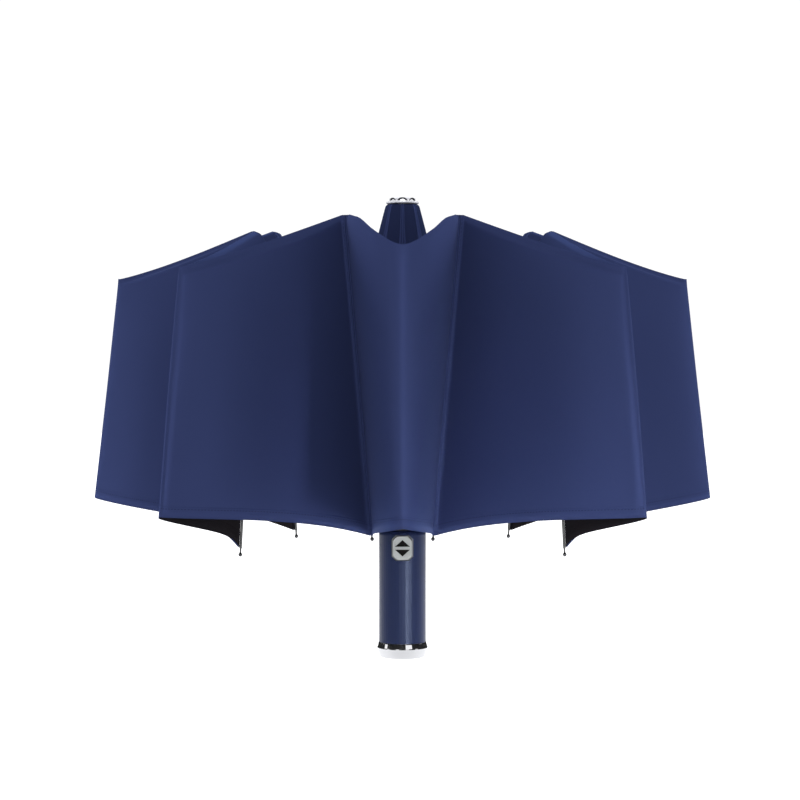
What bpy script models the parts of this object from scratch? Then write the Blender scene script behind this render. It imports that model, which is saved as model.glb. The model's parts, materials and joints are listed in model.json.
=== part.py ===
import math

import bpy
from mathutils import Matrix, Vector

# Driving dimensions in metres; heights are counted from the torch end of the handle

GRIP_CENTRE = 0.0525
FIT_GAP = 0.0003
OVERRUN = 0.002
WELD = 0.00001

# Handle
HANDLE_RADIUS = 0.0173
HANDLE_WALL = 0.0022
HANDLE_TOP = 0.094
HANDLE_ROOF = 0.0022
HANDLE_SHOULDER = 0.0035
HANDLE_SIDES = 48
HANDLE_INSIDE = HANDLE_RADIUS - HANDLE_WALL
SPIGOT = HANDLE_INSIDE - FIT_GAP

# Torch end
RING_PROUD = 0.00145
RING_RADIUS = HANDLE_RADIUS + RING_PROUD
RING_HEIGHT = 0.011
RING_DRAFT = 0.0016
RING_CORNER = 0.0018
RING_SHOULDER = 0.0036
RING_TAPER = 0.0013
RING_EDGE = 0.0003
RING_LIP = 0.0012
RING_LIP_WIDTH = 0.0032
RING_SPIGOT = 0.005
SPIGOT_WALL = 0.0008
LENS_THICKNESS = 0.0018
REFLECTOR_HEIGHT = 0.0105
REFLECTOR_WALL = 0.0008
REFLECTOR_THROAT = 0.0042
BOARD_THICKNESS = 0.0016
LED_WIDTH = 0.0034
LED_HEIGHT = 0.0012
CARRIER_SLACK = 0.0008
CARRIER_FLOOR = 0.0012
CELL_RADIUS = 0.0058
CELL_HEIGHT = 0.0054
CELL_COUNT = 4
CELL_RIM = 0.0005
CONTACT_RADIUS = 0.0034
CONTACT_WIRE = 0.0003
CONTACT_LENGTH = 0.0079
CONTACT_TURNS = 2.5
SPRING_STEPS = 10

# Torch switch on the back of the handle
SWITCH_RISE = 0.0215
SWITCH_HEIGHT = RING_HEIGHT + SWITCH_RISE
SWITCH_RADIUS = 0.0041
SWITCH_FLANGE = 0.0010
SWITCH_FLANGE_LIP = 0.0010
SWITCH_PROUD = 0.0007
SWITCH_TRAVEL = 0.0009
SWITCH_SIDES = 24

# Open and close button
BUTTON_DROP = 0.0125
BUTTON_CENTRE = HANDLE_TOP - BUTTON_DROP
BUTTON_WIDTH = 0.0145
BUTTON_HEIGHT = 0.0175
BUTTON_CHAMFER = 0.0030
BUTTON_PROUD = 0.0008
BUTTON_FACE = HANDLE_RADIUS + BUTTON_PROUD
BUTTON_GAP = 0.0006
BUTTON_TRAVEL = 0.0015
BUTTON_FLANGE = 0.0009
BUTTON_FLANGE_LIP = 0.0010
BUTTON_FLANGE_SLACK = 0.00125
BUTTON_EDGE = 0.0006
BUTTON_BORE = 0.0031
BUTTON_SKIN = 0.0015
MARK_WIDTH = 0.0122
MARK_HEIGHT = 0.0055
MARK_BAR = 0.0018
MARK_DEPTH = 0.0004
MARK_PROUD = 0.0001
BUTTON_SPRING_RADIUS = 0.0023
BUTTON_SPRING_WIRE = 0.00035
BUTTON_SPRING_TURNS = 3.5

# Shaft tubes
SOCKET_CLEARANCE = 0.002
SOCKET_FLOOR = 0.0055
OUTER_TUBE_RADIUS = 0.0065
TUBE_WALL = 0.0006
MIDDLE_TUBE_RADIUS = OUTER_TUBE_RADIUS - TUBE_WALL - FIT_GAP
TOP_TUBE_RADIUS = MIDDLE_TUBE_RADIUS - TUBE_WALL - FIT_GAP
OUTER_TUBE_SINK = 0.0011
MIDDLE_TUBE_REACH = 0.0035
TUBE_STEP = 0.0015
TUBE_ROLL = 0.0006
TUBE_SIDES = 24

# Rib pieces
RIB_DEPTH = 0.0032
INNER_WIDTH = 0.0026
INNER_WALL = 0.00055
MIDDLE_WIDTH = 0.0022
MIDDLE_WALL = 0.0005
LAYER_GAP = 0.0004
MIDDLE_LAYER = INNER_WIDTH / 2 + LAYER_GAP + MIDDLE_WIDTH / 2
STRETCHER_WIDTH = 0.0016
STRETCHER_DEPTH = 0.0030
STRETCHER_GAP = 0.0008
STRETCHER_LAYER = -INNER_WIDTH / 2 - STRETCHER_GAP - STRETCHER_WIDTH / 2
PIN_RADIUS = 0.0007
HOLE_RADIUS = PIN_RADIUS + FIT_GAP
PIN_HEAD = 0.0014
PIN_HEAD_HEIGHT = 0.0003
EYE_RADIUS = 0.0019
EYE_WIDTH = 0.0022
ROD_RADIUS = 0.0010
ROD_START = 0.0013
NECK_RADIUS = 0.0007
NECK_START = 0.0045
BALL_RADIUS = 0.0015
HOLE_SIDES = 10
PIN_SIDES = 8
END_STEPS = 4

# Rib linkage
RIB_COUNT = 8
FIRST_AZIMUTH = 22.5
INNER_LENGTH = 0.1225
MIDDLE_LENGTH = 0.1235
OUTER_LENGTH = 0.2272
STRETCHER_LENGTH = 0.061
INNER_LEAN = -75.1
MIDDLE_LEANS = (61.3, 54.8, 60.0, 60.0)
OUTER_LEANS = (-101.3, -86.9, -94.3, -96.0)

# Crown, cap and runner
PIVOT_RADIUS = 0.0102
PIVOT_COVER = 0.0012
CROWN_PIVOT = 0.324
CROWN_RADIUS = PIVOT_RADIUS + PIVOT_COVER
CROWN_RISE = 0.0079
CROWN_TOP = CROWN_PIVOT + CROWN_RISE
CROWN_FOOT = 0.0045
CROWN_LOW = CROWN_PIVOT - CROWN_FOOT
CROWN_EDGE = 0.0015
SLOT_MARGIN = 0.00035
SLOT_WIDTH = INNER_WIDTH + 2 * SLOT_MARGIN
SLOT_DEPTH = 0.0022
SLOT_ROOT = PIVOT_RADIUS - SLOT_DEPTH
SLOT_HEADROOM = 0.0028
SLOT_ROOF = CROWN_PIVOT + SLOT_HEADROOM
RUNNER_STEP = 0.0022
RUNNER_COLLAR = CROWN_RADIUS - RUNNER_STEP
RUNNER_BELOW = 0.0180
RUNNER_ABOVE = 0.0028
RUNNER_HEAD = 0.0052
RUNNER_EDGE = 0.0008
STRETCHER_SLOT_MARGIN = 0.0004
STRETCHER_SLOT_WIDTH = STRETCHER_WIDTH + 2 * STRETCHER_SLOT_MARGIN
CROWN_SIDES = 40

# Canopy cloth
CLOTH = 0.0008
CLOTH_HOLE = 0.0056
CLOTH_DISC = CROWN_TOP + CLOTH / 2 + FIT_GAP
CLOTH_SHOULDER = 0.0005
CLOTH_TOP_EDGE = CROWN_RADIUS - CLOTH_SHOULDER
CLOTH_SLACK = 0.00045
CLOTH_SIDE_EDGE = CROWN_RADIUS + CLOTH / 2 + CLOTH_SLACK
CLOTH_DROP = 0.0009
CLOTH_SIDE_HEIGHT = CROWN_TOP - CLOTH_DROP
CLOTH_OFFSET = 0.0025
CLOTH_OUTER_OFFSET = 0.0022
KNEE_WRAP = 0.0037
KNEE_PEAKS = (0.0045, 0.0034, 0.0034, 0.0034)
CLOTH_HOLD = 0.0056
CLOTH_OUTER_HOLD = 0.0024
HOLD_SHARE = 0.30
CONE_SHARE = 0.45
FOLD_REACH = 0.024
PANEL_SHARE = 0.60
SKIRT_SHARE = 0.50
HEM_RISE = 0.0054
HEM_POWER = 2.4
CONE_DIP_SHARE = 0.97

# Cap on top of the cloth
CAP_SEAT = CLOTH_DISC + CLOTH / 2 + FIT_GAP
CAP_OVERHANG = 0.0007
CAP_FLANGE = CROWN_RADIUS + CAP_OVERHANG
CAP_FLANGE_HEIGHT = 0.0016
CAP_FLANGE_TOP = CAP_SEAT + CAP_FLANGE_HEIGHT
CAP_LEDGE = 0.0024
CAP_DRUM = CAP_FLANGE - CAP_LEDGE
CAP_DRUM_HEIGHT = 0.0026
CAP_TOP = CAP_FLANGE_TOP + CAP_DRUM_HEIGHT
CAP_EDGE = 0.0005
CAP_STEM = TOP_TUBE_RADIUS - TUBE_WALL - FIT_GAP
CAP_STEM_LENGTH = 0.0153
CAP_HOLLOW_RADIUS = 0.0066
CAP_HOLLOW = 0.0012
ARCH_COUNT = 7
ARCH_RADIUS = 0.0030
ARCH_SINK = 0.0009
ARCH_DEPTH = 0.0009

# Ridge of each lobe from the cone to the hem, as shares of its reach and of its fall
LOBE_REACH = 0.2268
LOBE_FALL = 0.2085
SIDE_LOBE_SHARES = (
    (0.1639, 0.3645),
    (0.2393, 0.3933),
    (0.3722, 0.3597),
    (0.6380, 0.2878),
    (0.8950, 0.2158),
    (0.9260, 0.2062),
    (0.9331, 0.2350),
    (0.9681, 0.6139),
    (1.0000, 1.0000),
)
FRONT_LOBE_SHARES = (
    (0.1639, 0.3645),
    (0.2393, 0.3933),
    (0.3722, 0.3501),
    (0.5760, 0.2686),
    (0.7754, 0.1669),
    (0.8108, 0.1516),
    (0.8183, 0.1775),
    (0.8330, 0.5947),
    (0.8418, 1.0273),
)
SIDE_REACH_SHARE = 0.32
FRONT_REACH_SHARE = 0.60
SIDE_BILLOW = 0.003
FRONT_BILLOW = 0.008

# Colours
NAVY = (0.030, 0.036, 0.098, 1.0)
NAVY_SHELL = (0.026, 0.034, 0.095, 1.0)
CHROME = (0.78, 0.78, 0.80, 1.0)
SATIN_SILVER = (0.70, 0.70, 0.69, 1.0)
STEEL = (0.48, 0.49, 0.51, 1.0)
DARK_STEEL = (0.10, 0.10, 0.11, 1.0)
BLACK = (0.012, 0.012, 0.013, 1.0)
GLASS = (0.85, 0.90, 0.93, 1.0)
BOARD_WHITE = (0.75, 0.76, 0.74, 1.0)
CELL_SILVER = (0.62, 0.62, 0.60, 1.0)


def clear_scene():
    for thing in list(bpy.data.objects):
        bpy.data.objects.remove(thing, do_unlink=True)


def new_collection(name):
    collection = bpy.data.collections.new(name)
    bpy.context.scene.collection.children.link(collection)
    return collection


clear_scene()
PARTS = new_collection("led_umbrella")
CUTTERS = new_collection("cutters")


def material(name, colour, metallic, roughness):
    made = bpy.data.materials.new(name)
    made.use_nodes = True
    shader = made.node_tree.nodes["Principled BSDF"]
    shader.inputs["Base Color"].default_value = colour
    shader.inputs["Metallic"].default_value = metallic
    shader.inputs["Roughness"].default_value = roughness
    made.diffuse_color = colour
    return made


def new_object(name, data, collection):
    thing = bpy.data.objects.new(name, data)
    collection.objects.link(thing)
    return thing


def part(name, data, look):
    thing = new_object(name, data, PARTS)
    thing.data.materials.clear()
    thing.data.materials.append(look)
    return thing


def mesh_from(points, edges, faces):
    mesh = bpy.data.meshes.new("shape")
    mesh.from_pydata([tuple(point) for point in points], edges, faces)
    mesh.update()
    return mesh


def settled_mesh(thing):
    graph = bpy.context.evaluated_depsgraph_get()
    graph.update()
    mesh = bpy.data.meshes.new_from_object(thing.evaluated_get(graph))
    mesh.transform(thing.matrix_world)
    return mesh


def settle(thing, collection):
    bpy.context.view_layer.update()
    mesh = settled_mesh(thing)
    name = thing.name
    bpy.data.objects.remove(thing, do_unlink=True)
    return new_object(name, mesh, collection)


def lathe(profile, steps):
    points = [(radius, 0, height) for radius, height in profile]
    count = len(points)
    edges = [(index, (index + 1) % count) for index in range(count)]
    closed = min(radius for radius, height in profile) > 0
    if not closed:
        edges = edges[:-1]
    thing = new_object("lathe", mesh_from(points, edges, []), CUTTERS)
    screw = thing.modifiers.new("Screw", "SCREW")
    screw.axis = "Z"
    screw.steps = steps
    screw.render_steps = steps
    screw.use_merge_vertices = True
    screw.merge_threshold = WELD
    screw.use_normal_calculate = True
    return outward(settle(thing, CUTTERS))


def volume_of(mesh):
    total = 0
    mesh.calc_loop_triangles()
    for triangle in mesh.loop_triangles:
        first, second, third = [mesh.vertices[index].co for index in triangle.vertices]
        total += first.dot(second.cross(third))
    return total


def outward(thing):
    if volume_of(thing.data) < 0:
        thing.data.flip_normals()
    return thing


def circle(radius, sides, centre=(0, 0)):
    turn = 2 * math.pi / sides
    return [
        (centre[0] + radius * math.cos(turn * index), centre[1] + radius * math.sin(turn * index))
        for index in range(sides)
    ]


def prism(outlines, low, high):
    curve = bpy.data.curves.new("outline", "CURVE")
    curve.dimensions = "2D"
    curve.fill_mode = "BOTH"
    for outline in outlines:
        spline = curve.splines.new("POLY")
        spline.points.add(len(outline) - 1)
        for point, (across, along) in zip(spline.points, outline):
            point.co = (across, along, 0, 1)
        spline.use_cyclic_u = True
    curve.extrude = (high - low) / 2
    thing = new_object("prism", curve, CUTTERS)
    thing.location = (0, 0, (high + low) / 2)
    thing = settle(thing, CUTTERS)
    weld = thing.modifiers.new("Weld", "WELD")
    weld.merge_threshold = WELD
    return outward(settle(thing, CUTTERS))


def box(low, high):
    middle = [(first + last) / 2 for first, last in zip(low, high)]
    size = [last - first for first, last in zip(low, high)]
    bpy.ops.mesh.primitive_cube_add(size=1)
    thing = bpy.context.active_object
    thing.data.transform(Matrix.Translation(middle) @ Matrix.Diagonal((*size, 1)))
    for owner in list(thing.users_collection):
        owner.objects.unlink(thing)
    CUTTERS.objects.link(thing)
    return thing


def turned(thing, matrix):
    thing.data.transform(matrix)
    return thing


def combine(base, other, operation):
    step = base.modifiers.new(operation.title(), "BOOLEAN")
    step.operation = operation
    step.solver = "EXACT"
    step.object = other
    other.hide_render = True
    other.display_type = "WIRE"
    return base


def cut(base, other):
    return settle(combine(base, other, "DIFFERENCE"), CUTTERS)


def join(base, other):
    return settle(combine(base, other, "UNION"), CUTTERS)


def bevel(thing, width, angle=40, segments=2):
    step = thing.modifiers.new("Bevel", "BEVEL")
    step.width = width
    step.segments = segments
    step.limit_method = "ANGLE"
    step.angle_limit = math.radians(angle)
    return settle(thing, CUTTERS)


def finish(thing, name, look, matrix=None):
    made = part(name, thing.data, look)
    if matrix:
        made.matrix_world = matrix
    return made


ALONG_Y = Matrix.Rotation(math.radians(90), 4, "X")


def side_prism(outlines, low, high):
    return turned(prism(outlines, -high, -low), ALONG_Y)


def azimuth_of(index):
    return FIRST_AZIMUTH + 360 / RIB_COUNT * index


def pair_of(index):
    return min(index, RIB_COUNT - 1 - index)


def outward_at(azimuth):
    turn = math.radians(azimuth)
    return Vector((math.sin(turn), -math.cos(turn), 0))


def across_at(azimuth):
    turn = math.radians(azimuth)
    return Vector((math.cos(turn), math.sin(turn), 0))


def rib_matrix(azimuth, spot, lean):
    outer = outward_at(azimuth)
    across = across_at(azimuth)
    basis = Matrix((
        (outer.x, across.x, 0, outer.x * spot[0]),
        (outer.y, across.y, 0, outer.y * spot[0]),
        (0, 0, 1, spot[1]),
        (0, 0, 0, 1),
    ))
    return basis @ Matrix.Rotation(-math.radians(lean), 4, "Y")


def ahead(lean):
    turn = math.radians(lean)
    return Vector((math.cos(turn), math.sin(turn)))


def above(lean):
    turn = math.radians(lean)
    return Vector((-math.sin(turn), math.cos(turn)))


# Where the rib pivots stand at rest, in the rib's own plane
CROWN_SPOT = Vector((PIVOT_RADIUS, CROWN_PIVOT))
FIRST_KNEE = CROWN_SPOT + INNER_LENGTH * ahead(INNER_LEAN)
RUNNER_PIVOT = CROWN_PIVOT + 2 * STRETCHER_LENGTH * math.sin(math.radians(INNER_LEAN))
RUNNER_SPOT = Vector((PIVOT_RADIUS, RUNNER_PIVOT))


def second_knee(pair):
    return FIRST_KNEE + MIDDLE_LENGTH * ahead(MIDDLE_LEANS[pair])


def bar_outline(start, length, half):
    outline = []
    for step in range(END_STEPS + 1):
        turn = math.radians(90) + math.pi * step / END_STEPS
        outline.append((start + half * math.cos(turn), half * math.sin(turn)))
    for step in range(END_STEPS + 1):
        turn = math.radians(-90) + math.pi * step / END_STEPS
        outline.append((start + length + half * math.cos(turn), half * math.sin(turn)))
    return outline


def channel(length, holes, width, wall, centre):
    half = RIB_DEPTH / 2
    outlines = [bar_outline(0, length, half)]
    for hole in holes:
        outlines.append(circle(HOLE_RADIUS, HOLE_SIDES, (hole, 0)))
    bar = side_prism(outlines, centre - width / 2, centre + width / 2)
    low = (-half - OVERRUN, centre - width / 2 + wall, -half - OVERRUN)
    high = (length + half + OVERRUN, centre + width / 2 - wall, half - wall)
    return cut(bar, box(low, high))


def pin(along, low, high, radius):
    return side_prism([circle(radius, PIN_SIDES, (along, 0))], low, high)


def build_inner_rib():
    return channel(
        INNER_LENGTH, (0, STRETCHER_LENGTH, INNER_LENGTH), INNER_WIDTH, INNER_WALL, 0
    )


def build_middle_rib():
    rib = channel(MIDDLE_LENGTH, (), MIDDLE_WIDTH, MIDDLE_WALL, MIDDLE_LAYER)
    outer_face = MIDDLE_LAYER + MIDDLE_WIDTH / 2
    for along in (0, MIDDLE_LENGTH):
        head = -INNER_WIDTH / 2 - FIT_GAP
        rib = join(rib, pin(along, head - PIN_HEAD_HEIGHT / 2, outer_face - MIDDLE_WALL / 2, PIN_RADIUS))
        rib = join(rib, pin(along, head - PIN_HEAD_HEIGHT, head, PIN_HEAD))
    return rib


def build_outer_rib():
    eye = side_prism(
        [circle(EYE_RADIUS, PIN_SIDES * 2), circle(HOLE_RADIUS, HOLE_SIDES)],
        -EYE_WIDTH / 2,
        EYE_WIDTH / 2,
    )
    neck_start = OUTER_LENGTH - NECK_START
    profile = [
        (0, ROD_START),
        (ROD_RADIUS, ROD_START),
        (ROD_RADIUS, neck_start),
        (NECK_RADIUS, neck_start),
        (NECK_RADIUS, OUTER_LENGTH - BALL_RADIUS),
    ]
    for step in range(1, END_STEPS + 1):
        turn = math.radians(-40) + math.radians(130) * step / END_STEPS
        radius = BALL_RADIUS * math.cos(turn) if step < END_STEPS else 0
        profile.append((radius, OUTER_LENGTH + BALL_RADIUS * math.sin(turn)))
    rod = turned(lathe(profile, PIN_SIDES), Matrix.Rotation(math.radians(90), 4, "Y"))
    return join(eye, rod)


def build_stretcher():
    outlines = [
        bar_outline(0, STRETCHER_LENGTH, STRETCHER_DEPTH / 2),
        circle(HOLE_RADIUS, HOLE_SIDES),
    ]
    low = STRETCHER_LAYER - STRETCHER_WIDTH / 2
    return side_prism(outlines, low, low + STRETCHER_WIDTH)


def place_ribs():
    steel = material("rib_steel", STEEL, 1.0, 0.32)
    dark = material("rib_dark_steel", DARK_STEEL, 0.9, 0.40)
    glass_fibre = material("rib_fibre", BLACK, 0.1, 0.35)
    inner = build_inner_rib()
    middle = build_middle_rib()
    outer = build_outer_rib()
    stretcher = build_stretcher()
    for index in range(RIB_COUNT):
        azimuth = azimuth_of(index)
        pair = pair_of(index)
        knee = second_knee(pair)
        label = str(index + 1)
        sets = (
            (inner, "inner_rib_", steel, CROWN_SPOT, INNER_LEAN),
            (middle, "middle_rib_", steel, FIRST_KNEE, MIDDLE_LEANS[pair]),
            (outer, "outer_rib_", glass_fibre, knee, OUTER_LEANS[pair]),
            (stretcher, "stretcher_", dark, RUNNER_SPOT, -INNER_LEAN),
        )
        for shape, name, look, spot, lean in sets:
            made = part(name + label, shape.data.copy(), look)
            made.matrix_world = rib_matrix(azimuth, spot, lean)


def tube(name, radius, low, high, look):
    inner = radius - TUBE_WALL
    profile = [
        (inner, low),
        (radius, low),
        (radius, high - TUBE_ROLL),
        (radius - TUBE_ROLL / 2, high),
        (inner, high),
    ]
    return finish(lathe(profile, TUBE_SIDES), name, look)


def place_shaft(floor):
    look = material("shaft_steel", STEEL, 1.0, 0.25)
    low = floor + FIT_GAP
    outer_top = RUNNER_PIVOT - OUTER_TUBE_SINK
    middle_top = outer_top + MIDDLE_TUBE_REACH
    tube("outer_tube", OUTER_TUBE_RADIUS, low, outer_top, look)
    tube("middle_tube", MIDDLE_TUBE_RADIUS, low + TUBE_STEP, middle_top, look)
    top_end = CROWN_TOP - FIT_GAP
    tube("top_tube", TOP_TUBE_RADIUS, low + 2 * TUBE_STEP, top_end, look)


def ring_cutters(root, width, low, high, layer):
    for index in range(RIB_COUNT):
        cutter = box((root, layer - width / 2, low), (RING_RADIUS, layer + width / 2, high))
        yield turned(cutter, rib_matrix(azimuth_of(index), (0, 0), 0))


def ring_pins(spot, layer, width):
    for index in range(RIB_COUNT):
        low = layer - width / 2 - PIN_RADIUS
        high = layer + width / 2 + PIN_RADIUS
        rod = turned(pin(0, low, high, PIN_RADIUS), Matrix.Translation((spot[0], 0, spot[1])))
        yield turned(rod, rib_matrix(azimuth_of(index), (0, 0), 0))


def place_crown():
    bore = TOP_TUBE_RADIUS + FIT_GAP
    edge = CROWN_RADIUS - CROWN_EDGE
    profile = [(bore, CROWN_LOW), (CROWN_RADIUS, CROWN_LOW), (CROWN_RADIUS, CROWN_TOP - CROWN_EDGE)]
    for step in range(1, END_STEPS + 1):
        turn = math.radians(90) * step / END_STEPS
        profile.append((
            edge + CROWN_EDGE * math.cos(turn), CROWN_TOP - CROWN_EDGE + CROWN_EDGE * math.sin(turn)
        ))
    profile.append((bore, CROWN_TOP))
    crown = lathe(profile, CROWN_SIDES)
    for cutter in ring_cutters(SLOT_ROOT, SLOT_WIDTH, CROWN_LOW - OVERRUN, SLOT_ROOF, 0):
        crown = cut(crown, cutter)
    for rod in ring_pins(CROWN_SPOT, 0, SLOT_WIDTH):
        crown = join(crown, rod)
    finish(crown, "crown", material("crown_plastic", BLACK, 0.0, 0.45))


def place_runner():
    bore = OUTER_TUBE_RADIUS + FIT_GAP
    low = RUNNER_PIVOT - RUNNER_BELOW
    head_low = RUNNER_PIVOT - RUNNER_HEAD
    high = RUNNER_PIVOT + RUNNER_ABOVE
    profile = [
        (bore, low),
        (RUNNER_COLLAR, low),
        (RUNNER_COLLAR, head_low - RUNNER_EDGE),
        (RUNNER_COLLAR + RUNNER_EDGE, head_low),
        (CROWN_RADIUS, head_low),
        (CROWN_RADIUS, high - RUNNER_EDGE),
        (CROWN_RADIUS - RUNNER_EDGE, high),
        (bore, high),
    ]
    runner = lathe(profile, CROWN_SIDES)
    cutters = ring_cutters(
        SLOT_ROOT, STRETCHER_SLOT_WIDTH, head_low - OVERRUN, high + OVERRUN, STRETCHER_LAYER
    )
    for cutter in cutters:
        runner = cut(runner, cutter)
    for rod in ring_pins(RUNNER_SPOT, STRETCHER_LAYER, STRETCHER_SLOT_WIDTH):
        runner = join(runner, rod)
    finish(runner, "runner", material("runner_plastic", BLACK, 0.0, 0.45))


def place_cap():
    profile = [
        (0, CAP_SEAT - CAP_STEM_LENGTH),
        (CAP_STEM, CAP_SEAT - CAP_STEM_LENGTH),
        (CAP_STEM, CAP_SEAT),
        (CAP_FLANGE - CAP_EDGE / 2, CAP_SEAT),
        (CAP_FLANGE, CAP_SEAT + CAP_EDGE),
        (CAP_FLANGE, CAP_FLANGE_TOP - CAP_EDGE),
        (CAP_FLANGE - CAP_EDGE, CAP_FLANGE_TOP),
        (CAP_DRUM + CAP_EDGE, CAP_FLANGE_TOP),
        (CAP_DRUM, CAP_FLANGE_TOP + CAP_EDGE),
        (CAP_DRUM, CAP_TOP - CAP_EDGE),
        (CAP_DRUM - CAP_EDGE, CAP_TOP),
        (CAP_HOLLOW_RADIUS + CAP_EDGE, CAP_TOP),
        (CAP_HOLLOW_RADIUS, CAP_TOP - CAP_EDGE),
        (0, CAP_TOP - CAP_HOLLOW),
    ]
    cap = lathe(profile, CROWN_SIDES)
    for index in range(ARCH_COUNT):
        rod = prism([circle(ARCH_RADIUS, 2 * HOLE_SIDES)], CAP_DRUM - ARCH_DEPTH, CAP_FLANGE)
        rod = turned(rod, Matrix.Translation((0, 0, CAP_FLANGE_TOP - ARCH_SINK)) @ ALONG_Y)
        floor = box((-RING_RADIUS, -RING_RADIUS, 0), (RING_RADIUS, RING_RADIUS, CAP_FLANGE_TOP))
        rod = cut(rod, floor)
        turn = Matrix.Rotation(2 * math.pi / ARCH_COUNT * index, 4, "Z")
        cap = cut(cap, turned(rod, turn))
    finish(cap, "top_cap", material("cap_chrome", CHROME, 1.0, 0.10))


def octagon(width, height, chamfer):
    right = width / 2
    top = height / 2
    return [
        (right, top - chamfer),
        (right - chamfer, top),
        (chamfer - right, top),
        (-right, top - chamfer),
        (-right, chamfer - top),
        (chamfer - right, -top),
        (right - chamfer, -top),
        (right, chamfer - top),
    ]


def front_prism(outlines, near, far):
    thing = prism(outlines, near, far)
    return turned(thing, Matrix.Translation((0, 0, BUTTON_CENTRE)) @ ALONG_Y)


def grown(size, margin):
    return size + 2 * margin


def mark_outline(direction):
    base = MARK_BAR / 2
    tip = base + MARK_HEIGHT
    half = MARK_WIDTH / 2
    return [(-half, direction * base), (half, direction * base), (0, direction * tip)]


def switch_prism(radius, near, far):
    thing = prism([circle(radius, SWITCH_SIDES)], near, far)
    turn = Matrix.Rotation(math.radians(-90), 4, "X")
    return turned(thing, Matrix.Translation((0, 0, SWITCH_HEIGHT)) @ turn)


def flange_seat(reach):
    return math.sqrt(HANDLE_INSIDE * HANDLE_INSIDE - reach * reach)


def button_flange_front():
    return flange_seat(BUTTON_WIDTH / 2 + BUTTON_FLANGE_LIP) - BUTTON_FLANGE_SLACK


def switch_back():
    return flange_seat(SWITCH_RADIUS + SWITCH_FLANGE_LIP) - FIT_GAP - SWITCH_FLANGE


def place_handle():
    inner = HANDLE_INSIDE
    low = RING_HEIGHT + FIT_GAP
    roof = HANDLE_TOP - HANDLE_ROOF
    bore = OUTER_TUBE_RADIUS + FIT_GAP
    edge = HANDLE_RADIUS - HANDLE_SHOULDER
    profile = [(inner, low), (HANDLE_RADIUS, low)]
    for step in range(END_STEPS + 1):
        turn = math.radians(90) * step / END_STEPS
        profile.append((
            edge + HANDLE_SHOULDER * math.cos(turn),
            HANDLE_TOP - HANDLE_SHOULDER + HANDLE_SHOULDER * math.sin(turn),
        ))
    profile += [(bore, HANDLE_TOP), (bore, roof), (inner, roof)]
    shell = lathe(profile, HANDLE_SIDES)
    window = octagon(
        grown(BUTTON_WIDTH, BUTTON_GAP), grown(BUTTON_HEIGHT, BUTTON_GAP), BUTTON_CHAMFER
    )
    shell = cut(shell, front_prism([window], HANDLE_RADIUS / 2, RING_RADIUS))
    hole = switch_prism(SWITCH_RADIUS + FIT_GAP, HANDLE_RADIUS / 2, RING_RADIUS)
    shell = cut(shell, hole)
    finish(shell, "handle_shell", material("handle_navy", NAVY_SHELL, 0.0, 0.42))


def place_socket(low):
    radius = SPIGOT
    high = HANDLE_TOP - HANDLE_ROOF - FIT_GAP
    floor = low + SOCKET_FLOOR
    bore = OUTER_TUBE_RADIUS + FIT_GAP
    profile = [
        (0, low), (radius, low), (radius, high), (bore, high), (bore, floor), (0, floor)
    ]
    socket = lathe(profile, HANDLE_SIDES)
    lip = BUTTON_FLANGE_LIP + BUTTON_GAP
    half = BUTTON_WIDTH / 2 + lip
    rise = BUTTON_HEIGHT / 2 + lip
    back = button_flange_front() - BUTTON_FLANGE - BUTTON_TRAVEL - FIT_GAP
    pocket = box(
        (-half, -RING_RADIUS, BUTTON_CENTRE - rise), (half, -back, BUTTON_CENTRE + rise)
    )
    socket = cut(socket, pocket)
    finish(socket, "tube_socket", material("socket_plastic", BLACK, 0.0, 0.55))
    return floor


def place_button():
    outline = octagon(BUTTON_WIDTH, BUTTON_HEIGHT, BUTTON_CHAMFER)
    front = button_flange_front()
    back = front - BUTTON_FLANGE
    body = front_prism([outline], front - BUTTON_FLANGE / 2, BUTTON_FACE)
    body = bevel(body, BUTTON_EDGE, angle=60, segments=1)
    flange_outline = octagon(
        grown(BUTTON_WIDTH, BUTTON_FLANGE_LIP), grown(BUTTON_HEIGHT, BUTTON_FLANGE_LIP), BUTTON_CHAMFER
    )
    body = join(body, front_prism([flange_outline], back, front))
    hollow = front_prism([circle(BUTTON_BORE, SWITCH_SIDES)], back - OVERRUN, BUTTON_FACE - BUTTON_SKIN)
    body = cut(body, hollow)
    for direction in (1, -1):
        recess = front_prism([mark_outline(direction)], BUTTON_FACE - MARK_DEPTH, BUTTON_FACE + OVERRUN)
        body = cut(body, recess)
    finish(body, "open_close_button", material("button_silver", SATIN_SILVER, 1.0, 0.30))
    black = material("mark_black", BLACK, 0.0, 0.50)
    for direction, name in ((1, "button_up_mark"), (-1, "button_down_mark")):
        outline = mark_outline(direction)
        middle_height = sum(point[1] for point in outline) / len(outline)
        share = 1 - FIT_GAP * 2 / MARK_HEIGHT
        small = [
            (point[0] * share, middle_height + (point[1] - middle_height) * share)
            for point in outline
        ]
        near = BUTTON_FACE - MARK_DEPTH + FIT_GAP / 2
        mark = front_prism([small], near, BUTTON_FACE + MARK_PROUD)
        finish(mark, name, black)


def coil(radius, wire, turns, start, end):
    curve = bpy.data.curves.new("coil", "CURVE")
    curve.dimensions = "3D"
    curve.bevel_depth = wire
    curve.bevel_resolution = 1
    curve.use_fill_caps = True
    count = int(turns * SPRING_STEPS) + 1
    spline = curve.splines.new("POLY")
    spline.points.add(count - 1)
    for index, point in enumerate(spline.points):
        share = index / (count - 1)
        turn = 2 * math.pi * turns * share
        height = start + wire + (end - start - 2 * wire) * share
        point.co = (radius * math.cos(turn), radius * math.sin(turn), height, 1)
    thing = new_object("coil", curve, CUTTERS)
    return outward(settle(thing, CUTTERS))


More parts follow.
